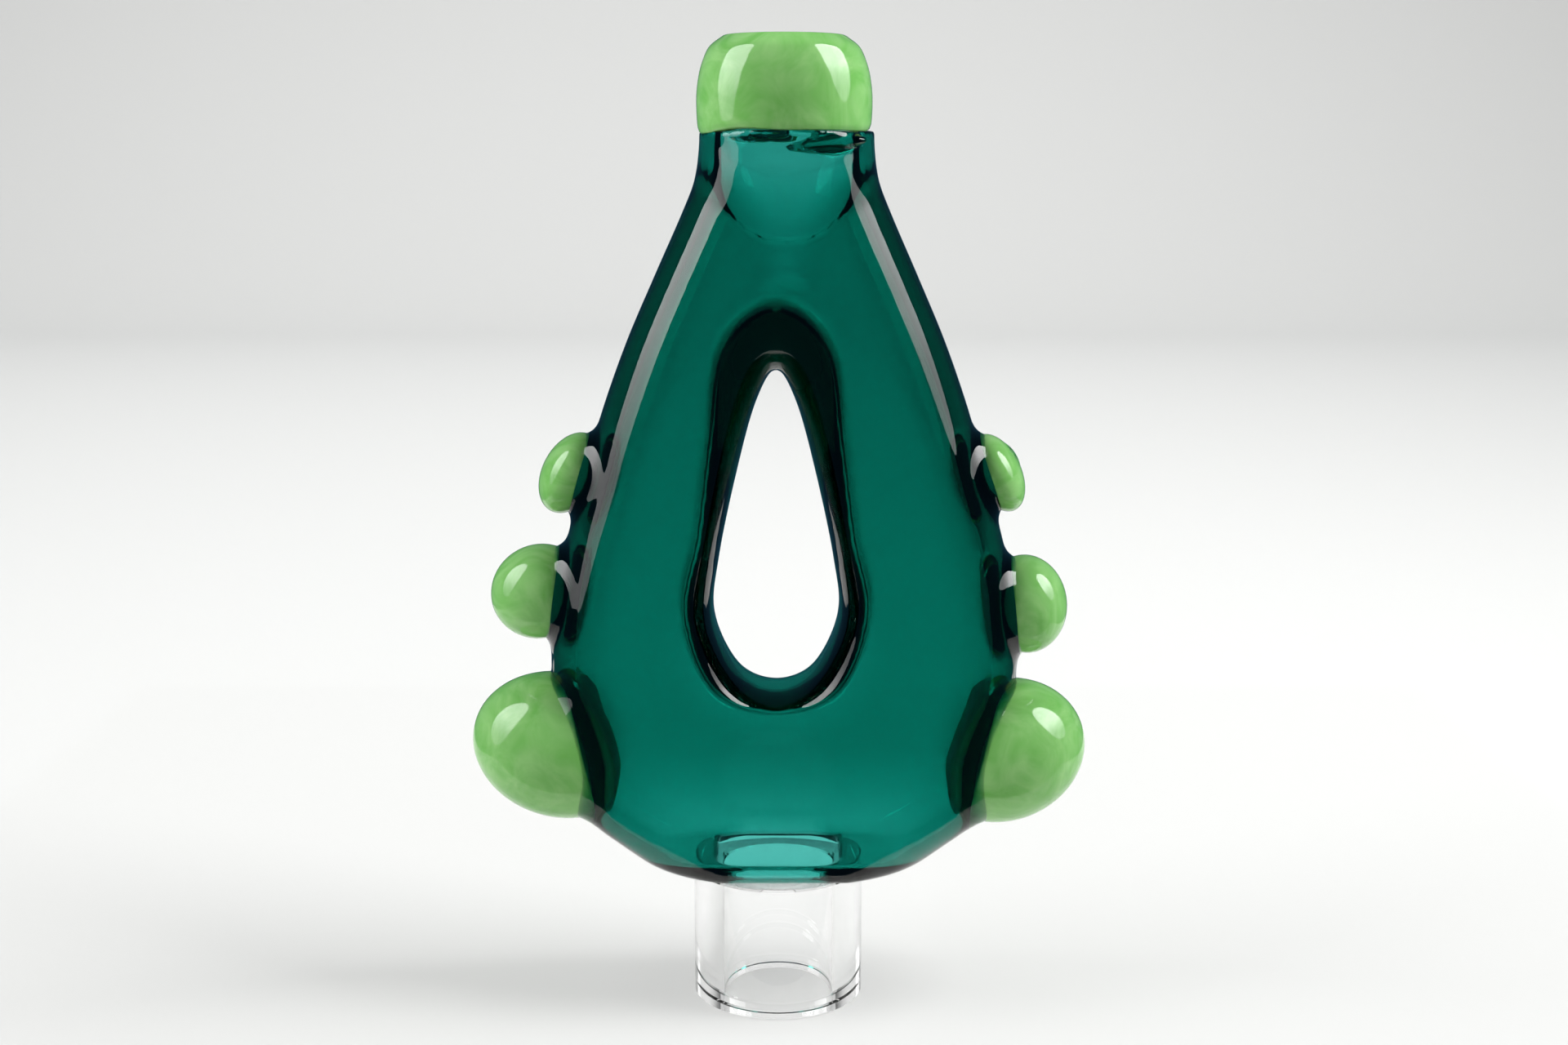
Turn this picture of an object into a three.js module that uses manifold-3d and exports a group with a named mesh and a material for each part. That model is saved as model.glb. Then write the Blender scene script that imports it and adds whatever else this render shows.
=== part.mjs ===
// A hollow blown-glass mouthpiece: a flattened teardrop body with a teardrop window through it, a round neck
// with an opaque lip wrap, six opaque marbles on teal seats, and a clear stem tube that the body rests on.
// Millimetres, +Z up. The origin is on the stem tube's axis, in the plane of its lower end face.
import * as THREE from "three";
import { mergeVertices } from "three/addons/utils/BufferGeometryUtils.js";
import Module from "manifold-3d";

const wasm = await Module();
wasm.setup();

// ---- Driving dimensions ----
const GAP = 0.3; // clearance between pieces that touch
const WALL = 2.4; // wall of the blown glass
const OVERRUN = 2; // how far a cutting solid runs past the face it opens

const STEM = { outer: 10, bore: 6.5, height: 15.7, chamfer: 0.4 };
const OPENING_RADIUS = 8.8; // the hole in the underside of the body

const BODY_BOTTOM = STEM.height + GAP;
const BODY_TOP = 98.6; // the weld between body and neck

// The body's outline in the front view, as [half width, height], from the underside to the neck.
const OUTLINE = [
  [14.6, BODY_BOTTOM],
  [19.0, 19.1],
  [22.3, 21.7],
  [24.4, 25.2],
  [25.9, 30],
  [26.9, 35.5],
  [27.5, 41],
  [26.8, 48],
  [25.2, 55],
  [23.2, 62],
  [21.1, 69.5],
  [18.2, 77.6],
  [15.0, 85],
  [12.0, 91.7],
  [10.3, 95.9],
  [9.6, BODY_TOP],
];
// Half the body's depth, as [half depth, height].
const DEPTH = [
  [10.6, BODY_BOTTOM],
  [10.7, 19],
  [9.7, 25],
  [8.9, 34],
  [8.7, 50],
  [8.7, 84],
  [9.2, 92],
  [9.6, BODY_TOP],
];
// The body stands a little off the stem's axis and drifts further towards the neck, as it was blown.
const CENTRE = { offset: 0.5, drift: 0.005 };

// The window as [half width, height]: its throat half-way through the body, and its rim on the two faces.
const THROAT = [
  [0, 37.4],
  [4.3, 39.4],
  [7.2, 45.8],
  [6.6, 53],
  [4.5, 63],
  [2.3, 71],
  [0, 74.7],
];
const RIM = [
  [0, 35.2],
  [7.0, 38.1],
  [10.3, 46.8],
  [8.8, 56],
  [7.2, 67],
  [5.4, 77],
  [0, 81.3],
];
const WINDOW_X = -0.2;

const NECK = { outer: 9.6, bore: 7.2, shoulderZ: 101.9, spigot: 7.5, mouthBore: 5.4, topZ: 110.4 };
const LIP = { outer: 9.8, mouth: 5.8, topZ: 111.8, bulgeZ: 105, foot: 9.4, edge: 0.5 };
// The lip wrap's rounded crown above its bulge, as [radius, height].
const CROWN = [
  [9.4, 108.4],
  [8.6, 110.2],
  [7.2, 111.45],
  [6.5, LIP.topZ],
];

// Marbles: the centre of the base disc (x, z), the tilt of the axis above level, base radius and height.
const MARBLES = {
  left_upper: { x: -23.9, z: 62.5, tilt: 10, radius: 4.9, height: 3.6 },
  left_middle: { x: -27.6, z: 48.7, tilt: 6, radius: 5.6, height: 5.7 },
  left_lower: { x: -25.9, z: 30.2, tilt: -9, radius: 8.8, height: 10.3 },
  right_upper: { x: 24.9, z: 62.5, tilt: 10, radius: 4.8, height: 3.5 },
  right_middle: { x: 28.6, z: 47.3, tilt: 4, radius: 5.7, height: 5.1 },
  right_lower: { x: 26.8, z: 29.5, tilt: -9, radius: 8.7, height: 9.5 },
};
// How far a seat spreads below its marble, how deep it reaches, and the depths where its flare starts and ends.
const SEAT = { flare: 1.7, depth: 7, flareTop: 1.8, flareEnd: 3.4 };

const OUTLINE_STEPS = 26;
const SECTION_POINTS = 40;
const WINDOW_LEVELS = 8;
const WINDOW_POINTS = 36;

// ---- Materials ----
const glass = (color, opacity) =>
  new THREE.MeshStandardMaterial({ color, opacity, transparent: opacity < 1, roughness: 0.05, metalness: 0 });
const TEAL = glass(0x087360, 0.6);
const LIME = glass(0x76b85c, 1);
const CLEAR = glass(0xf2f5f4, 0.35);

// ---- Helpers ----
// A closed solid through rings of equal length, capped with a fan at each end.
function loft(rings) {
  const count = rings[0].length;
  const positions = rings.flat(2);
  const index = [];
  for (let i = 0; i + 1 < rings.length; i++) {
    for (let j = 0; j < count; j++) {
      const a = i * count + j;
      const b = i * count + ((j + 1) % count);
      index.push(a, b, b + count, a, b + count, a + count);
    }
  }
  const last = (rings.length - 1) * count;
  for (let j = 1; j + 1 < count; j++) {
    index.push(0, j + 1, j);
    index.push(last, last + j, last + j + 1);
  }
  const geometry = new THREE.BufferGeometry();
  geometry.setAttribute("position", new THREE.Float32BufferAttribute(positions, 3));
  geometry.setIndex(index);
  return geometry;
}

function solid(geometry) {
  const bare = geometry.clone();
  bare.deleteAttribute("normal");
  bare.deleteAttribute("uv");
  const merged = mergeVertices(bare, 1e-4);
  return new wasm.Manifold(
    new wasm.Mesh({
      numProp: 3,
      vertProperties: merged.attributes.position.array,
      triVerts: new Uint32Array(merged.index.array),
    }),
  );
}

function geometryOf(manifold) {
  const mesh = manifold.getMesh();
  const geometry = new THREE.BufferGeometry();
  geometry.setAttribute("position", new THREE.Float32BufferAttribute(mesh.vertProperties, 3));
  geometry.setIndex(new THREE.BufferAttribute(mesh.triVerts, 1));
  geometry.computeVertexNormals();
  return geometry;
}

// A turned solid from [radius, height] points, standing on Z.
function turned(profile, segments) {
  const points = profile.map(([r, z]) => new THREE.Vector2(r, z));
  return new THREE.LatheGeometry(points, segments).rotateX(Math.PI / 2);
}

const centreX = (z) => CENTRE.offset + CENTRE.drift * (z - BODY_BOTTOM);

// The spline through [value, height] points, as a function of height.
function along(points) {
  const curve = new THREE.SplineCurve(points.map(([v, z]) => new THREE.Vector2(v, z)));
  const fine = curve.getPoints(400);
  return (z) => {
    const next = fine.findIndex((p) => p.y >= z);
    if (next < 0) return fine[fine.length - 1].x;
    if (next === 0) return fine[0].x;
    const [low, high] = [fine[next - 1], fine[next]];
    return THREE.MathUtils.mapLinear(z, low.y, high.y, low.x, high.x);
  };
}
const halfDepth = along(DEPTH);

// The outline moved inwards by a distance, as [half width, height] points.
function insetOutline(inset) {
  const curve = new THREE.SplineCurve(OUTLINE.map(([w, z]) => new THREE.Vector2(w, z)));
  const points = [];
  for (let i = 0; i <= OUTLINE_STEPS; i++) {
    const at = curve.getPointAt(i / OUTLINE_STEPS);
    const way = curve.getTangentAt(i / OUTLINE_STEPS);
    points.push([at.x - way.y * inset, at.y + way.x * inset]);
  }
  return points;
}

// A level section of the body: two half circles joined by straight sides.
function section(halfWidth, depth, z) {
  const flat = Math.max(halfWidth - depth, 0);
  const radius = Math.min(halfWidth, depth);
  const ring = [];
  for (let j = 0; j < SECTION_POINTS; j++) {
    const angle = (2 * Math.PI * (j + 0.5)) / SECTION_POINTS;
    const side = Math.sign(Math.cos(angle));
    ring.push([centreX(z) + side * flat + radius * Math.cos(angle), depth * Math.sin(angle), z]);
  }
  return ring;
}

// ---- Body shell ----
// The outside of the body without its window, grown outwards by a clearance.
function bodyBlank(grow = 0) {
  const rings = insetOutline(-grow).map(([w, z]) => section(w, halfDepth(z) + grow, z));
  return solid(loft(rings));
}

// The space inside the wall, open through the neck and through the hole in the underside.
function bodyCavity() {
  const inside = insetOutline(WALL).filter(([w, z]) => w > OPENING_RADIUS && z > BODY_BOTTOM + WALL);
  const neckBore = NECK.outer - WALL;
  const rings = [
    ...inside.filter(([, z]) => z < BODY_TOP - WALL).map(([w, z]) => section(w, halfDepth(z) - WALL, z)),
    section(neckBore, neckBore, BODY_TOP),
    section(neckBore, neckBore, BODY_TOP + OVERRUN),
  ];
  const opening = turned(
    [
      [0, BODY_BOTTOM - OVERRUN],
      [OPENING_RADIUS, BODY_BOTTOM - OVERRUN],
      [OPENING_RADIUS, BODY_BOTTOM + WALL + OVERRUN],
      [0, BODY_BOTTOM + WALL + OVERRUN],
    ],
    SECTION_POINTS,
  );
  return solid(loft(rings)).add(solid(opening));
}

// The closed curve through [half width, height] points on both sides of the window's centre line.
function teardropCurve(half) {
  const right = half.map(([w, z]) => new THREE.Vector3(w, 0, z));
  const left = half.slice(1, -1).map(([w, z]) => new THREE.Vector3(-w, 0, z));
  return new THREE.CatmullRomCurve3([...right, ...left.reverse()], true, "centripetal");
}
const throatCurve = teardropCurve(THROAT);
const rimCurve = teardropCurve(RIM);

// The window's outline at one depth, from the throat (spread 0) to the rim (spread 1), grown outwards.
function teardrop(spread, grow, y) {
  const ring = [];
  for (let i = 0; i < WINDOW_POINTS; i++) {
    const at = throatCurve.getPoint(i / WINDOW_POINTS).lerp(rimCurve.getPoint(i / WINDOW_POINTS), spread);
    const way = throatCurve.getTangent(i / WINDOW_POINTS).lerp(rimCurve.getTangent(i / WINDOW_POINTS), spread);
    way.normalize();
    ring.push([WINDOW_X + at.x + way.z * grow, y, at.z - way.x * grow]);
  }
  return ring;
}

// The window's flared hole through a body of the given half depth.
function windowSolid(depth, grow) {
  const rings = [teardrop(1, grow, depth + OVERRUN)];
  for (let i = 0; i <= WINDOW_LEVELS; i++) {
    const angle = Math.PI * (0.5 - i / WINDOW_LEVELS);
    rings.push(teardrop(1 - Math.cos(angle), grow, depth * Math.sin(angle)));
  }
  rings.push(teardrop(1, grow, -depth - OVERRUN));
  return solid(loft(rings));
}

const WINDOW_DEPTH = halfDepth(THROAT[3][1]);
const windowHole = windowSolid(WINDOW_DEPTH, 0);
const windowPost = windowSolid(WINDOW_DEPTH - WALL, WALL);
const shell = bodyBlank().subtract(bodyCavity().subtract(windowPost)).subtract(windowHole);

// ---- Neck, lip wrap and stem ----
const neck = turned(
  [
    [NECK.bore, BODY_TOP + GAP],
    [NECK.outer, BODY_TOP + GAP],
    [NECK.outer, NECK.shoulderZ],
    [NECK.spigot, NECK.shoulderZ],
    [NECK.spigot, NECK.topZ],
    [NECK.mouthBore, NECK.topZ],
    [NECK.mouthBore, NECK.shoulderZ + WALL],
    [NECK.bore, NECK.shoulderZ - 1],
    [NECK.bore, BODY_TOP + GAP],
  ],
  SECTION_POINTS,
);

// The wrap hugs the neck's spigot and rolls over its end towards the mouth.
const lipOuter = new THREE.SplineCurve([
  new THREE.Vector2(LIP.foot, NECK.shoulderZ + GAP),
  new THREE.Vector2(LIP.outer, LIP.bulgeZ),
  ...CROWN.map(([r, z]) => new THREE.Vector2(r, z)),
]).getPoints(14);
const lip = turned(
  [
    [NECK.spigot + GAP, NECK.shoulderZ + GAP],
    ...lipOuter.map((p) => [p.x, p.y]),
    [LIP.mouth, LIP.topZ - GAP],
    [NECK.mouthBore, NECK.topZ + GAP + LIP.edge],
    [NECK.mouthBore, NECK.topZ + GAP],
    [NECK.spigot + GAP, NECK.topZ + GAP],
    [NECK.spigot + GAP, NECK.shoulderZ + GAP],
  ],
  SECTION_POINTS,
);

const stem = turned(
  [
    [STEM.bore, STEM.chamfer],
    [STEM.bore + STEM.chamfer, 0],
    [STEM.outer - STEM.chamfer, 0],
    [STEM.outer, STEM.chamfer],
    [STEM.outer, STEM.height - STEM.chamfer],
    [STEM.outer - STEM.chamfer, STEM.height],
    [STEM.bore + STEM.chamfer, STEM.height],
    [STEM.bore, STEM.height - STEM.chamfer],
    [STEM.bore, STEM.chamfer],
  ],
  2 * SECTION_POINTS,
);

// ---- Marbles and their seats ----
// Turns a piece made along +Z so that it points out of the body's side, and moves it to its base disc.
function aim(geometry, { x, z, tilt }) {
  const lean = THREE.MathUtils.degToRad(90 - tilt) * Math.sign(x);
  return geometry.rotateY(lean).translate(x, 0, z);
}

function marbleGeometry(marble) {
  const steps = 9;
  const profile = [[0, 0]];
  for (let i = 0; i <= steps; i++) {
    const angle = (Math.PI / 2) * (i / steps);
    profile.push([i === steps ? 0 : marble.radius * Math.cos(angle), marble.height * Math.sin(angle)]);
  }
  return aim(turned(profile, 24), marble);
}

// A seat is a flared mound whose underside is the body's own surface.
const clearanceBlank = bodyBlank(GAP);
function seatGeometry(marble) {
  const wide = marble.radius + SEAT.flare;
  const profile = [
    [0, -SEAT.depth],
    [wide, -SEAT.depth],
    [wide, -SEAT.flareEnd],
    [marble.radius + 0.5 * SEAT.flare, -SEAT.flareTop],
    [marble.radius, -GAP],
    [0, -GAP],
  ];
  const mound = solid(aim(turned(profile, 24), marble));
  return geometryOf(mound.subtract(clearanceBlank));
}

// ---- Assembly ----
const group = new THREE.Group();
function place(name, geometry, material, x = 0) {
  const mesh = new THREE.Mesh(geometry, material);
  mesh.name = name;
  mesh.position.x = x;
  group.add(mesh);
}

place("stem_tube", stem, CLEAR);
place("body_shell", geometryOf(shell), TEAL);
place("neck_tube", neck, TEAL, centreX(BODY_TOP));
place("lip_wrap", lip, LIME, centreX(BODY_TOP));
for (const [where, marble] of Object.entries(MARBLES)) {
  place("marble_" + where, marbleGeometry(marble), LIME);
  place("seat_" + where, seatGeometry(marble), TEAL);
}

export default group;
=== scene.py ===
"""A hollow blown-glass mouthpiece: teal body with a window, lime lip wrap and marbles, clear stem."""
import math

import bmesh
import bpy
import numpy as np
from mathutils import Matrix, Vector


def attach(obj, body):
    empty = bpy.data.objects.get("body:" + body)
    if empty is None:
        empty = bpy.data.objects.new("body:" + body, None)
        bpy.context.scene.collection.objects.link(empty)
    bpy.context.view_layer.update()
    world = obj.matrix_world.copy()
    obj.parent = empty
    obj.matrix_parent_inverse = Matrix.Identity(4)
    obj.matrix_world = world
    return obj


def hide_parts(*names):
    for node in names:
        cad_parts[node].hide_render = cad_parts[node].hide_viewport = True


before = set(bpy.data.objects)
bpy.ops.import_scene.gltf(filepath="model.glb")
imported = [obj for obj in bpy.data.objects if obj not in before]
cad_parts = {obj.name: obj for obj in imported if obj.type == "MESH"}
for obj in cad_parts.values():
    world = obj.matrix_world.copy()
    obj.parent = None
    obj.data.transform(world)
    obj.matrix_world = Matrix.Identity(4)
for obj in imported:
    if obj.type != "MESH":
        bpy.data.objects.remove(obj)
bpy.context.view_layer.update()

MM = 0.001

# ---- Shape, in millimetres. A ramp is where a change starts and the height that it takes. ----
CENTRE_X = 0.6
CENTRE_DRIFT = 0.005  # along X, for each unit of height
BODY_BOTTOM = 15.9
FLOOR_Z = 18.0  # the inside of the body's floor

# The body's outline in the front view, as (half width, height).
OUTLINE = [
    (8.6, 12),
    (11.6, 14),
    (14.6, 16.0),
    (19.0, 19.1),
    (22.3, 21.7),
    (24.4, 25.2),
    (25.9, 30),
    (26.8, 35.5),
    (27.2, 41),
    (26.7, 48),
    (25.2, 55),
    (23.2, 62),
    (21.1, 69.5),
    (18.2, 77.6),
    (15.0, 85),
    (12.0, 91.7),
    (10.3, 95.9),
    (9.5, 99),
    (9.2, 101),
]

# Half the body's depth, which falls towards the neck and grows towards the base.
PLATE_DEPTH = 8.7
PLATE_DEPTH_TOP = 8.1
PLATE_DEPTH_BASE = 10.55
DEPTH_TOP_RAMP = (60, 25)
DEPTH_BASE_RAMP = (34, 14)

# The body's edge is fully round, but its radius is smaller than the depth near the base.
SQUARENESS = 2.5
SQUARE_RAMP = (30, 10)

# The wall, which grows upwards and is thinner again near the floor.
WALL_BASE = 1.85
WALL_LOW = 2.75
WALL_HIGH = 2.85
WALL_RAMP = (25, 45)
WALL_BASE_RAMP = (29, 8)

# The window as (half width, height): its throat half-way through the body, and its rim on the two faces.
THROAT = [(0, 37.4), (4.3, 39.4), (7.2, 45.8), (6.6, 53), (4.5, 63), (2.3, 71), (0, 74.7)]
RIM = [(0, 35.2), (7.0, 38.1), (10.3, 46.8), (8.8, 56), (7.2, 67), (5.4, 77), (0, 81.3)]
WINDOW_X = -0.2
WINDOW_FLARE = 3  # the power by which the throat opens to the rim
WINDOW_REACH = 1.2  # it goes on opening up to this many depths from the middle
RIM_ROUNDING = 1.5
RIM_ROUNDING_LOW = 2.8
RIM_ROUNDING_RAMP = (50, 10)
RIM_BACK = 0.2  # how far outside the rim the hollow starts

# The neck, its bore, and the thinner patch at its front.
NECK_RADIUS = 9.65
NECK_FOOT = 88
NECK_TAPER = 1.8
NECK_TAPER_RAMP = (97, 9)
NECK_BORE = 8.0
BORE_START = 5.25
BORE_RAMP = (85, 13)
LOBE_CENTRE_Z = 96.0
LOBE_SIZE = (7.0, 6.6)
LOBE_STEP = 0.38
SPIGOT_RADIUS = 7.6
SHOULDER_Z = 101.6
NECK_TOP = 110.4
MOUTH_BORE = 5.4

# The hole in the floor, over the stem: a rounded rectangle a little behind the middle.
OPENING_SIZE = (7.2, 8.3)
OPENING_CORNER = 4.0
OPENING_Y = 0.5
OPENING_OVERRUN = 1  # how far it runs up past the floor

# How softly surfaces run into each other.
NECK_BLEND = 1.2
SEAT_BLEND = 2.4
HOLLOW_BLEND = 2.0
FLOOR_BLEND = 0.8
OPENING_BLEND = 0.5
BORE_BLEND = 1.2
LOBE_EDGE = 0.2
LOBE_BLEND = 0.1
BASE_BLEND = 1.9
GLASS_BLEND = 0.5
SEAM_BLEND = 0.3

# Marbles: upper and lower ends of the base line, and the apex, as (x, z).
MARBLES = {
    "left_upper": ((-22.5, 67.3), (-25.2, 58.0), (-27.3, 62.8)),
    "left_middle": ((-26.9, 54.2), (-28.4, 43.2), (-33.3, 49.2)),
    "left_lower": ((-27.7, 38.8), (-23.6, 21.6), (-35.7, 29.4)),
    "right_upper": ((23.7, 67.1), (26.8, 58.2), (28.1, 63.0)),
    "right_middle": ((28.2, 52.9), (29.5, 41.5), (33.6, 47.8)),
    "right_lower": ((28.6, 38.0), (24.4, 21.1), (35.9, 28.6)),
}
MARBLE_SINK = 0.35  # radians by which a marble goes on past its widest ring, into its seat
SEAT_INSET = 0.3  # how far a seat's ball lies inside its marble, in radii
SEAT_SMALLER = 0.55  # how much less its radius is than the marble's

# Seams: centre, half lengths along X, Y and Z, and rise along X.
SEAMS = [
    ((5.4, -6.4, 99.9), (4.6, 1.7, 0.85), 0.1),
    ((-1.6, -7.8, 100.9), (3.2, 1.0, 0.35), 0.0),
]

# The lip wrap's section, as (radius, height): underside, outside, inside, and back to the spigot.
LIP_X = 0.75
LIP_UNDERSIDE = [(7.65, 101.3), (8.6, 101.15), (9.15, 101.2)]
LIP_OUTSIDE = [
    (9.5, 101.45),
    (9.72, 102.3),
    (9.8, 104.9),
    (9.6, 106.9),
    (9.2, 108.6),
    (8.4, 110.4),
    (7.2, 111.4),
]
LIP_INSIDE = [(6.5, 111.75), (5.8, 111.5), (5.45, 110.9), (5.45, 110.6)]
LIP_END = (7.65, 110.6)
LIP_EDGE_Z = 101.2
LIP_EDGE_HEIGHT = 1.3
LIP_OVAL = 0.05
LIP_WAVES = [(0.22, 3, 1.0), (0.12, 5, 0.0)]  # height, number round the lip, and phase

STEM_RADIUS = 10.0
STEM_BORE = 6.5
STEM_TOP = 15.72
STEM_EDGE = 0.2

# ---- Fineness and smoothing of the meshes ----
GRID = 0.4
GRID_LOW = (-31.0, -12.5, 14.0)
GRID_HIGH = (32.5, 12.5, 112.0)
SMOOTH_IN = 0.5
SMOOTH_OUT = -0.53
SMOOTH_ROUNDS = 10
LIP_SEGMENTS = 160
STEM_SEGMENTS = 192
MARBLE_RINGS = 40
MARBLE_SEGMENTS = 72

# ---- Glass ----
GLASS_IOR = 1.47
TEAL_PASSES = (0.0, 0.738, 0.69, 1)  # absorption is the density times one minus this
TEAL_DENSITY = 1300  # per metre
LIME_DARK = (0.18, 0.49, 0.11, 1)
LIME_PALE = (0.29, 0.60, 0.20, 1)

# ---- Stage, in metres ----
PAPER_COLOUR = (0.25, 0.2515, 0.2475, 1)
PAPER_Z = -0.0001
PAPER_FRONT = -2.0
PAPER_BACK = 0.9
PAPER_BEND = 0.35
PAPER_TOP = 2.0
PAPER_HALF_WIDTH = 2.5
PATCH_FRONT = -0.02
PATCH_BACK = 0.14
PATCH_HALF_WIDTH = 0.12
SURROUND_GLOW = (0.55, 0.555, 0.55, 1)
SURROUND_RADIUS = 1.1
SURROUND_HEIGHT = 1.2
SURROUND_START = 30  # degrees, at the backdrop's right end
SURROUND_TURN = -240  # degrees, round the front to the backdrop's left end
PANEL_DISTANCE = 0.42

# Softboxes: azimuth and spread in degrees, lower and upper end, and radiance.
PANELS = {
    "panel_left": (-79, 41, 0.015, 0.85, 7.0),
    "panel_right": (83, 42, 0.11, 0.85, 11.0),
}
WORLD_COLOUR = (0.15, 0.6, 1.0, 1)
WORLD_STRENGTH = 0.1
CAMERA_AT = (0.000709, -0.23058, 0.098655)
CAMERA_DOWN = 10.285  # degrees below level
CAMERA_LENS = 46.497


# ---- Curves and distance fields ----
def spline(points, closed=False, steps=16):
    """Points of a uniform Catmull-Rom curve through the given ones."""
    knots = np.array(points, float)
    count = len(knots)

    def knot(i):
        if closed:
            return knots[i % count]
        if i < 0:
            return 2 * knots[0] - knots[1]
        if i >= count:
            return 2 * knots[-1] - knots[-2]
        return knots[i]

    out = []
    for i in range(count if closed else count - 1):
        a, b, c, d = knot(i - 1), knot(i), knot(i + 1), knot(i + 2)
        t = np.arange(steps)[:, None] / steps
        square = (2 * a - 5 * b + 4 * c - d) * t**2
        cube = (3 * b - 3 * c + d - a) * t**3
        out.append(0.5 * (2 * b + (c - a) * t + square + cube))
    if not closed:
        out.append(knots[-1:])
    return np.concatenate(out)


def mirrored(half):
    """A closed outline from its half on the positive side, with corners if that ends off the centre."""
    if half[0][0] == 0:
        return spline(list(half) + [(-x, z) for x, z in half[::-1] if x > 0], True, 8)
    side = spline(half, False, 8)
    return np.concatenate([side, side[::-1] * (-1, 1)])


def polygon_distance(x, z, polygon):
    """Signed distance to a polygon, negative inside."""
    best = np.full(x.shape, 1e9)
    inside = np.zeros(x.shape, bool)
    ends = np.roll(polygon, -1, axis=0)
    for (ax, az), (bx, bz) in zip(polygon, ends):
        dx, dz = bx - ax, bz - az
        t = np.clip(((x - ax) * dx + (z - az) * dz) / (dx * dx + dz * dz + 1e-12), 0, 1)
        best = np.minimum(best, (x - ax - t * dx) ** 2 + (z - az - t * dz) ** 2)
        crosses = (az > z) != (bz > z)
        if az != bz:
            inside ^= crosses & (x < ax + (z - az) * dx / dz)
    return np.where(inside, -1, 1) * np.sqrt(best)


def smooth_min(a, b, k):
    h = np.clip(0.5 + 0.5 * (b - a) / k, 0, 1)
    return b + (a - b) * h - k * h * (1 - h)


def smooth_max(a, b, k):
    return -smooth_min(-a, -b, k)


def smooth_step(t):
    t = np.clip(t, 0, 1)
    return t * t * (3 - 2 * t)


def upwards(z, ramp):
    """0 below a ramp and 1 above it."""
    start, span = ramp
    return smooth_step((z - start) / span)


def downwards(z, ramp):
    """0 above a ramp and 1 below it."""
    start, span = ramp
    return smooth_step((start - z) / span)


def plate_field(plan, y, z):
    """The outside of the pressed plate, from the distance to its outline in the front view."""
    depth = PLATE_DEPTH + (PLATE_DEPTH_BASE - PLATE_DEPTH) * downwards(z, DEPTH_BASE_RAMP)
    depth = depth - (PLATE_DEPTH - PLATE_DEPTH_TOP) * upwards(z, DEPTH_TOP_RAMP)
    bend = depth - SQUARENESS * downwards(z, SQUARE_RAMP)
    across = plan + bend
    along = np.abs(y) - (depth - bend)
    plate = np.hypot(np.maximum(across, 0), np.maximum(along, 0)) - bend
    return plate + np.minimum(np.maximum(across, along), 0)


def neck_field(radial, z):
    start, span = NECK_TAPER_RAMP
    taper = np.clip((start - z) / span, 0, 1)
    return np.maximum(radial - (NECK_RADIUS - NECK_TAPER * taper**2), NECK_FOOT - z)


def window_field(throat, rim, y):
    """The window, flaring from its throat to its rim."""
    s = np.clip(np.abs(y) / PLATE_DEPTH, 0, WINDOW_REACH)
    window = throat + (rim - throat) * s**WINDOW_FLARE
    slope = (rim - throat) * WINDOW_FLARE * s ** (WINDOW_FLARE - 1) / PLATE_DEPTH
    return window / np.sqrt(1 + slope**2)


def seat_fields(x, y, z):
    """The ball under each marble that its seat is drawn out from."""
    for top, bottom, _ in MARBLES.values():
        middle_x = (top[0] + bottom[0]) / 2
        middle_z = (top[1] + bottom[1]) / 2
        radius = math.hypot(top[0] - bottom[0], top[1] - bottom[1]) / 2
        ball_x = middle_x - math.copysign(SEAT_INSET * radius, middle_x)
        yield np.sqrt((x - ball_x) ** 2 + y**2 + (z - middle_z) ** 2) - (radius - SEAT_SMALLER)


def opening_field(x, y, z):
    side = np.abs(x) - (OPENING_SIZE[0] - OPENING_CORNER)
    front = np.abs(y - OPENING_Y) - (OPENING_SIZE[1] - OPENING_CORNER)
    opening = np.hypot(np.maximum(side, 0), np.maximum(front, 0)) - OPENING_CORNER
    return np.maximum(opening, z - FLOOR_Z - OPENING_OVERRUN)


def bore_field(radial, z):
    """The neck's bore, which widens upwards and is narrow again inside the spigot."""
    bore = BORE_START + (NECK_BORE - BORE_START) * upwards(z, BORE_RAMP)
    bore = np.where(z < SHOULDER_Z, bore, MOUTH_BORE)
    return np.maximum(radial - bore, BORE_RAMP[0] - z)


def lobe_field(across, y, z):
    """A round-ended patch at the front of the neck."""
    width, height = LOBE_SIZE
    lobe = np.hypot(across / width, np.minimum(z - LOBE_CENTRE_Z, 0) / height)
    return np.maximum((lobe - 1) * height, np.maximum(y, z - SHOULDER_Z))


def seam_fields(x, y, z):
    """The thick seams inside the neck, under the lip wrap."""
    for (seam_x, seam_y, seam_z), (length, width, height), rise in SEAMS:
        u = x - seam_x
        v = z - seam_z - rise * u
        size = np.sqrt((u / length) ** 2 + ((y - seam_y) / width) ** 2 + (v / height) ** 2)
        yield (size - 1) * min(width, height)


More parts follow.
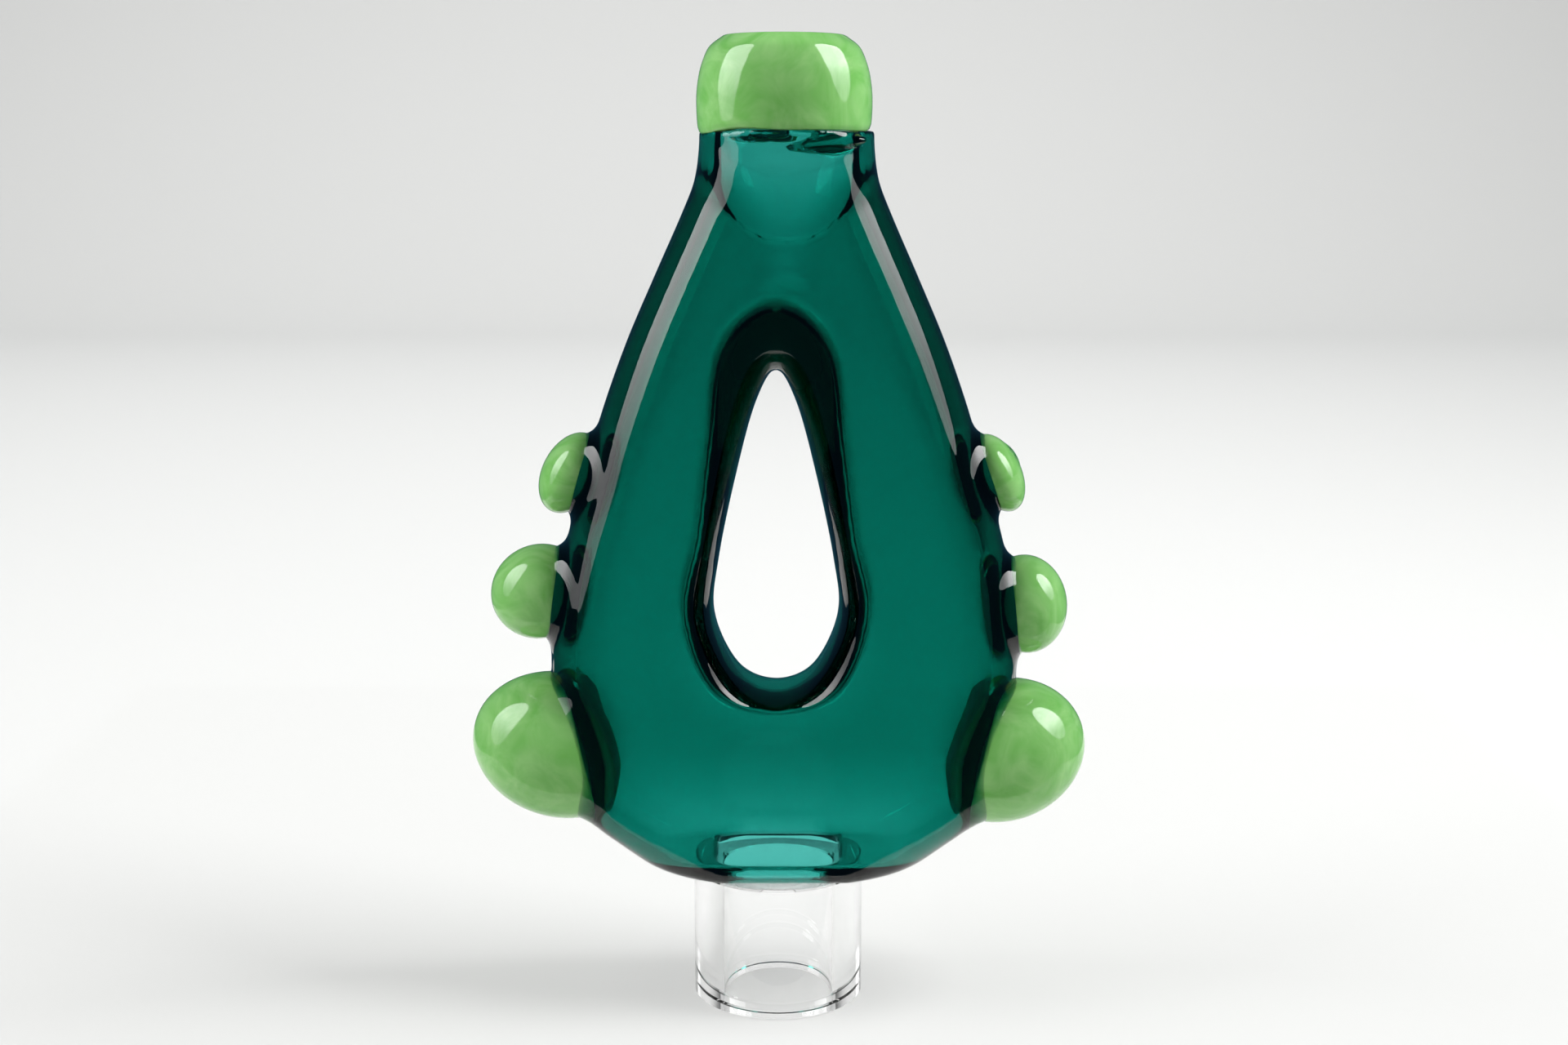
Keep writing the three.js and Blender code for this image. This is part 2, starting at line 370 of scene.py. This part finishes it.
def teal_field(x, y, z):
    """Signed distance to the teal glass on arrays x (n,1,1), y (1,n,1), z (1,1,n)."""
    flat_x, flat_z = np.meshgrid(x.ravel(), z.ravel(), indexing="ij")
    lean = CENTRE_X + CENTRE_DRIFT * (flat_z - BODY_BOTTOM)
    plan = polygon_distance(flat_x - lean, flat_z, mirrored(OUTLINE))[:, None, :]
    throat = polygon_distance(flat_x - WINDOW_X, flat_z, mirrored(THROAT))[:, None, :]
    rim = polygon_distance(flat_x - WINDOW_X, flat_z, mirrored(RIM))[:, None, :]
    across = x - lean[:1, None, :]
    radial = np.hypot(across, y)

    plate = plate_field(plan, y, z)
    outer = smooth_min(plate, neck_field(radial, z), NECK_BLEND)
    for seat in seat_fields(x, y, z):
        outer = smooth_min(outer, seat, SEAT_BLEND)
    rounding = RIM_ROUNDING + (RIM_ROUNDING_LOW - RIM_ROUNDING) * downwards(z, RIM_ROUNDING_RAMP)
    outer = smooth_max(outer, -window_field(throat, rim, y), rounding)

    wall = WALL_LOW + (WALL_HIGH - WALL_LOW) * upwards(z, WALL_RAMP)
    wall = wall - (WALL_LOW - WALL_BASE) * downwards(z, WALL_BASE_RAMP)
    cavity = smooth_max(plate + wall, RIM_BACK - rim, HOLLOW_BLEND)
    cavity = smooth_max(cavity, FLOOR_Z - z, FLOOR_BLEND)
    cavity = smooth_min(cavity, opening_field(x, y, z), OPENING_BLEND)
    cavity = smooth_min(cavity, bore_field(radial, z), BORE_BLEND)
    thinner = smooth_max(cavity - LOBE_STEP, lobe_field(across, y, z), LOBE_EDGE)
    cavity = smooth_min(cavity, thinner, LOBE_BLEND)

    # Above the shoulder the neck is a narrower spigot inside the lip wrap.
    spigot = np.maximum(radial - SPIGOT_RADIUS, z - NECK_TOP)
    outer = np.where(z > SHOULDER_Z, spigot, outer)
    outer = smooth_max(outer, BODY_BOTTOM - z, BASE_BLEND)
    glass = smooth_max(outer, -cavity, GLASS_BLEND)
    for seam in seam_fields(x, y, z):
        glass = smooth_min(glass, seam, SEAM_BLEND)
    return glass


# ---- Meshing ----
def surface_net(field, origin, step):
    """A quad mesh of the zero level of a field sampled on a grid."""
    inside = field < 0
    cells = [n - 1 for n in field.shape]
    corners = [(i, j, k) for i in (0, 1) for j in (0, 1) for k in (0, 1)]
    count = np.zeros(cells, np.int8)
    for i, j, k in corners:
        count += inside[i : cells[0] + i, j : cells[1] + j, k : cells[2] + k]
    active = np.argwhere((count > 0) & (count < 8))
    index = np.full(cells, -1)
    index[tuple(active.T)] = np.arange(len(active))

    # Each active cell's vertex is the mean of the points where its edges cross the surface.
    total = np.zeros((len(active), 3))
    hits = np.zeros(len(active))
    for a in corners:
        for axis in range(3):
            if a[axis]:
                continue
            b = tuple(v + (1 if n == axis else 0) for n, v in enumerate(a))
            at_a = field[tuple((active + a).T)]
            at_b = field[tuple((active + b).T)]
            cross = (at_a < 0) != (at_b < 0)
            t = np.where(cross, at_a / np.where(cross, at_a - at_b, 1), 0)
            point = np.array(a, float)[None].repeat(len(active), 0)
            point[:, axis] += t
            total += point * cross[:, None]
            hits += cross
    verts = (active + total / hits[:, None]) * step + origin

    # Each grid edge that crosses the surface gives a face of the four cells round it.
    faces = []
    for axis in range(3):
        u, v = (axis + 1) % 3, (axis + 2) % 3
        low = [slice(None)] * 3
        high = [slice(None)] * 3
        low[axis] = slice(0, -1)
        high[axis] = slice(1, None)
        starts, ends = inside[tuple(low)], inside[tuple(high)]
        at = np.argwhere(starts != ends)
        at = at[(at[:, u] > 0) & (at[:, v] > 0)]
        down_u = at.copy()
        down_u[:, u] -= 1
        down_v = at.copy()
        down_v[:, v] -= 1
        both = down_u.copy()
        both[:, v] -= 1
        quad = np.stack([index[tuple(p.T)] for p in (at, down_u, both, down_v)], 1)
        leaves = starts[tuple(at.T)]
        quad[~leaves] = quad[~leaves][:, ::-1]
        faces.append(quad)
    return verts, np.concatenate(faces)


def taubin(verts, faces):
    """Smooths away the grid's pattern and keeps the volume, by steps that shrink and swell in turn."""
    edges = np.concatenate([faces[:, [i, (i + 1) % 4]] for i in range(4)])
    edges = np.unique(np.sort(edges, 1), axis=0)
    degree = np.bincount(edges.ravel(), minlength=len(verts))[:, None]
    for step in [SMOOTH_IN, SMOOTH_OUT] * SMOOTH_ROUNDS:
        sums = np.zeros_like(verts)
        for axis in range(3):
            sums[:, axis] = np.bincount(edges[:, 0], verts[edges[:, 1], axis], len(verts))
            sums[:, axis] += np.bincount(edges[:, 1], verts[edges[:, 0], axis], len(verts))
        verts = verts + step * (sums / degree - verts)
    return verts


def make_piece(name, verts, faces, material, nodes):
    mesh = bpy.data.meshes.new(name)
    mesh.from_pydata((np.asarray(verts) * MM).tolist(), [], [list(map(int, f)) for f in faces])
    mesh.update()
    face_outwards(mesh)
    mesh.shade_smooth()
    obj = bpy.data.objects.new(name, mesh)
    bpy.context.scene.collection.objects.link(obj)
    mesh.materials.append(material)
    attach(obj, "root")
    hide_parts(*nodes)
    return obj


def face_outwards(mesh):
    bm = bmesh.new()
    bm.from_mesh(mesh)
    bmesh.ops.recalc_face_normals(bm, faces=bm.faces)
    bm.to_mesh(mesh)
    bm.free()


def turned(profile, segments, centre_x=0, wobble=None):
    """A turned mesh from a closed loop of (radius, height) points that don't touch the axis."""
    verts = []
    faces = []
    count = len(profile)
    for i in range(segments):
        angle = 2 * math.pi * i / segments
        after = (i + 1) % segments
        for j, (radius, z) in enumerate(profile):
            wider, higher = wobble(angle, z) if wobble else (0, 0)
            r = radius + wider
            verts.append((centre_x + r * math.cos(angle), r * math.sin(angle), z + higher))
            k = (j + 1) % count
            faces.append((i * count + j, after * count + j, after * count + k, i * count + k))
    return verts, faces


# ---- Materials ----
def principled(name, **values):
    material = bpy.data.materials.new(name)
    material.use_nodes = True
    shader = material.node_tree.nodes["Principled BSDF"]
    for key, value in values.items():
        shader.inputs[key.replace("_", " ")].default_value = value
    return material


def clear_glass(name):
    white = (1, 1, 1, 1)
    return principled(name, Base_Color=white, Roughness=0.0, IOR=GLASS_IOR, Transmission_Weight=1.0)


def teal_glass():
    material = clear_glass("teal_glass")
    tree = material.node_tree
    absorb = tree.nodes.new("ShaderNodeVolumeAbsorption")
    absorb.inputs["Color"].default_value = TEAL_PASSES
    absorb.inputs["Density"].default_value = TEAL_DENSITY
    tree.links.new(absorb.outputs[0], tree.nodes["Material Output"].inputs["Volume"])
    return material


def lime_glass():
    """Opaque glass with cloudy streaks of a paler green."""
    material = principled("lime_glass", Roughness=0.08, IOR=1.5, Subsurface_Weight=0.15)
    tree = material.node_tree
    shader = tree.nodes["Principled BSDF"]
    shader.inputs["Subsurface Radius"].default_value = (0.001, 0.0016, 0.0006)
    noise = tree.nodes.new("ShaderNodeTexNoise")
    noise.inputs["Scale"].default_value = 150
    noise.inputs["Detail"].default_value = 3
    noise.inputs["Distortion"].default_value = 2.5
    where = tree.nodes.new("ShaderNodeTexCoord")
    tree.links.new(where.outputs["Object"], noise.inputs["Vector"])
    ramp = tree.nodes.new("ShaderNodeValToRGB")
    ramp.color_ramp.elements[0].position = 0.3
    ramp.color_ramp.elements[0].color = LIME_DARK
    ramp.color_ramp.elements[1].position = 0.7
    ramp.color_ramp.elements[1].color = LIME_PALE
    tree.links.new(noise.outputs["Fac"], ramp.inputs["Fac"])
    tree.links.new(ramp.outputs["Color"], shader.inputs["Base Color"])
    return material


# ---- Pieces ----
def build_body(teal):
    low = np.array(GRID_LOW)
    count = np.ceil((np.array(GRID_HIGH) - low) / GRID).astype(int) + 1
    x, y, z = (low[i] + GRID * np.arange(count[i]) for i in range(3))
    field = teal_field(x[:, None, None], y[None, :, None], z[None, None, :])
    verts, faces = surface_net(field, low, GRID)
    verts = taubin(verts, faces)
    nodes = ["body_shell", "neck_tube"] + ["seat_" + where for where in MARBLES]
    return make_piece("teal_body", verts, faces, teal, nodes)


def lip_wobble(angle, z):
    """A lip that is slightly oval, with an uneven lower edge."""
    edge = math.exp(-((z - LIP_EDGE_Z) / LIP_EDGE_HEIGHT) ** 2)
    waves = sum(height * math.sin(count * angle + phase) for height, count, phase in LIP_WAVES)
    return LIP_OVAL * math.sin(2 * angle + 0.6), edge * waves


def build_lip(lime):
    curve = [tuple(p) for p in spline(LIP_OUTSIDE + LIP_INSIDE, False, 6)]
    loop = LIP_UNDERSIDE + curve + [LIP_END]
    verts, faces = turned(loop, LIP_SEGMENTS, LIP_X, lip_wobble)
    return make_piece("lip_wrap_lime", verts, faces, lime, ["lip_wrap"])


def build_stem(clear):
    loop = [
        (STEM_BORE, STEM_EDGE),
        (STEM_BORE + STEM_EDGE, 0),
        (STEM_RADIUS - STEM_EDGE, 0),
        (STEM_RADIUS, STEM_EDGE),
        (STEM_RADIUS, STEM_TOP - STEM_EDGE),
        (STEM_RADIUS - STEM_EDGE, STEM_TOP),
        (STEM_BORE + STEM_EDGE, STEM_TOP),
        (STEM_BORE, STEM_TOP - STEM_EDGE),
    ]
    verts, faces = turned(loop, STEM_SEGMENTS)
    obj = make_piece("stem_clear", verts, faces, clear, ["stem_tube"])
    obj.data.shade_flat()
    obj.data.set_sharp_from_angle(angle=math.radians(30))
    obj.visible_shadow = False
    return obj


def build_marble(where, lime):
    """A dome drawn out from a tilted disc to its apex, with its lower end sunk in its seat."""
    top, bottom, apex = MARBLES[where]
    middle = ((top[0] + bottom[0]) / 2, (top[1] + bottom[1]) / 2)
    half = ((bottom[0] - top[0]) / 2, (bottom[1] - top[1]) / 2)
    reach = (apex[0] - middle[0], apex[1] - middle[1])
    radius = math.hypot(*half)
    rings, segments = MARBLE_RINGS, MARBLE_SEGMENTS
    verts = []
    for i in range(rings):
        latitude = (math.pi / 2 + MARBLE_SINK) * i / rings - MARBLE_SINK
        for j in range(segments):
            angle = 2 * math.pi * j / segments
            across = math.cos(latitude) * math.cos(angle)
            verts.append((
                middle[0] + half[0] * across + reach[0] * math.sin(latitude),
                radius * math.cos(latitude) * math.sin(angle),
                middle[1] + half[1] * across + reach[1] * math.sin(latitude),
            ))
    verts.append((apex[0], 0, apex[1]))
    faces = [list(range(segments))]
    for i in range(rings):
        for j in range(segments):
            a = i * segments + j
            b = i * segments + (j + 1) % segments
            if i == rings - 1:
                faces.append([a, b, rings * segments])
            else:
                faces.append([a, b, b + segments, a + segments])
    name = "marble_" + where
    return make_piece(name + "_lime", verts, faces, lime, [name])


def build_pieces():
    build_body(teal_glass())
    clear = clear_glass("clear_glass")
    lime = lime_glass()
    build_lip(lime)
    build_stem(clear)
    for where in MARBLES:
        build_marble(where, lime)


# ---- Stage, light and camera ----
def stage_strip(name, profile, half_width, material):
    """A sheet along X through (y, z) points."""
    verts = [(side * half_width, y, z) for y, z in profile for side in (-1, 1)]
    faces = [(2 * i, 2 * i + 1, 2 * i + 3, 2 * i + 2) for i in range(len(profile) - 1)]
    return stage_mesh(name, verts, faces, material)


def stage_mesh(name, verts, faces, material):
    mesh = bpy.data.meshes.new(name)
    mesh.from_pydata(verts, [], faces)
    mesh.shade_smooth()
    mesh.materials.append(material)
    obj = bpy.data.objects.new(name, mesh)
    bpy.context.scene.collection.objects.link(obj)
    return obj


def build_backdrop(paper):
    """A paper sweep that reflections don't show, as if the room were dark."""
    profile = [(PAPER_FRONT, PAPER_Z), (PAPER_BACK, PAPER_Z)]
    for i in range(1, 13):
        a = math.pi / 2 * i / 12
        y = PAPER_BACK + PAPER_BEND * math.sin(a)
        profile.append((y, PAPER_Z + PAPER_BEND * (1 - math.cos(a))))
    profile.append((PAPER_BACK + PAPER_BEND, PAPER_TOP))
    sweep = stage_strip("backdrop", profile, PAPER_HALF_WIDTH, paper)
    sweep.visible_glossy = False


def build_patch(paper):
    """A patch of the paper that only reflections show."""
    profile = [(PATCH_FRONT, PAPER_Z / 2), (PATCH_BACK, PAPER_Z / 2)]
    patch = stage_strip("floor_near", profile, PATCH_HALF_WIDTH, paper)
    patch.visible_camera = False
    patch.visible_diffuse = False
    patch.visible_transmission = False
    patch.visible_shadow = False


def build_surround():
    """A pale wall behind the camera's side, which reflections and bounced light don't show."""
    material = bpy.data.materials.new("surround")
    material.use_nodes = True
    tree = material.node_tree
    glow = tree.nodes.new("ShaderNodeEmission")
    glow.inputs["Color"].default_value = SURROUND_GLOW
    tree.links.new(glow.outputs[0], tree.nodes["Material Output"].inputs["Surface"])
    steps = 48
    verts = []
    for i in range(steps + 1):
        a = math.radians(SURROUND_START + SURROUND_TURN * i / steps)
        x, y = SURROUND_RADIUS * math.cos(a), SURROUND_RADIUS * math.sin(a)
        verts += [(x, y, 10 * PAPER_Z), (x, y, SURROUND_HEIGHT)]
    faces = [(2 * i, 2 * i + 1, 2 * i + 3, 2 * i + 2) for i in range(steps)]
    wall = stage_mesh("surround", verts, faces, material)
    wall.visible_diffuse = False
    wall.visible_glossy = False
    wall.visible_shadow = False


def build_stage():
    paper = principled("paper", Base_Color=PAPER_COLOUR, Roughness=0.9)
    build_backdrop(paper)
    build_patch(paper)
    build_surround()


def area_light(name, at, look, width, height, radiance, oval=False):
    light = bpy.data.lights.new(name, "AREA")
    light.shape = "ELLIPSE" if oval else "RECTANGLE"
    light.size = width
    light.size_y = height
    light.energy = radiance * math.pi * width * height * (math.pi / 4 if oval else 1)
    obj = bpy.data.objects.new(name, light)
    obj.location = at
    obj.rotation_euler = (Vector(look) - Vector(at)).to_track_quat("-Z", "Y").to_euler()
    bpy.context.scene.collection.objects.link(obj)
    return obj


def soften(light):
    """Makes a softbox dimmer towards its lower end, as the lamp inside it is high up."""
    light.use_nodes = True
    tree = light.node_tree
    place = tree.nodes.new("ShaderNodeNewGeometry")
    split = tree.nodes.new("ShaderNodeSeparateXYZ")
    ramp = tree.nodes.new("ShaderNodeMapRange")
    ramp.interpolation_type = "SMOOTHSTEP"
    ramp.inputs["From Min"].default_value = 0.05
    ramp.inputs["From Max"].default_value = 0.36
    ramp.inputs["To Min"].default_value = 0.25
    ramp.inputs["To Max"].default_value = 1.0
    tree.links.new(place.outputs["Parametric"], split.inputs[0])
    tree.links.new(split.outputs["Y"], ramp.inputs["Value"])
    tree.links.new(ramp.outputs["Result"], tree.nodes["Emission"].inputs["Strength"])


def panel(name, azimuth, spread, low, high, radiance):
    """An upright oval softbox at an azimuth from the camera's side of the object, in degrees towards +X."""
    a = math.radians(azimuth)
    width = 2 * PANEL_DISTANCE * math.tan(math.radians(spread) / 2)
    at = (PANEL_DISTANCE * math.sin(a), -PANEL_DISTANCE * math.cos(a), (low + high) / 2)
    obj = area_light(name, at, (0, 0, at[2]), width, high - low, radiance, True)
    soften(obj.data)


def build_lights():
    """Softboxes beside the object, and two lights that only reach the paper.

    The object casts no shadow from backdrop_light.
    """
    for name, values in PANELS.items():
        panel(name, *values)
    stage = bpy.data.collections.new("stage")
    for name in ("backdrop", "floor_near"):
        stage.objects.link(bpy.data.objects[name])
    back = area_light(
        "backdrop_light", at=(0, 0.35, 1.3), look=(0, 1.2, 0.1), width=2.0, height=0.5, radiance=19.6
    )
    back.light_linking.receiver_collection = stage
    back.light_linking.blocker_collection = stage
    over = area_light("floor_light", at=(0, 0.2, 1.5), look=(0, 0.2, 0), width=2.4, height=2.4, radiance=0.5)
    over.light_linking.receiver_collection = stage


def build_world():
    """A dim blue room that reflections show and that lights nothing."""
    world = bpy.data.worlds.new("world")
    world.use_nodes = True
    background = world.node_tree.nodes["Background"]
    background.inputs["Color"].default_value = WORLD_COLOUR
    background.inputs["Strength"].default_value = WORLD_STRENGTH
    world.cycles_visibility.diffuse = False
    bpy.context.scene.world = world


def build_camera():
    camera = bpy.data.cameras.new("camera")
    camera.sensor_width = 36
    camera.lens = CAMERA_LENS
    camera.clip_start = 0.01
    obj = bpy.data.objects.new("camera", camera)
    obj.location = CAMERA_AT
    obj.rotation_euler = (math.radians(90 - CAMERA_DOWN), 0, 0)
    bpy.context.scene.collection.objects.link(obj)
    bpy.context.scene.camera = obj


build_pieces()
build_stage()
build_lights()
build_world()
build_camera()
bpy.context.scene.view_settings.view_transform = "Standard"
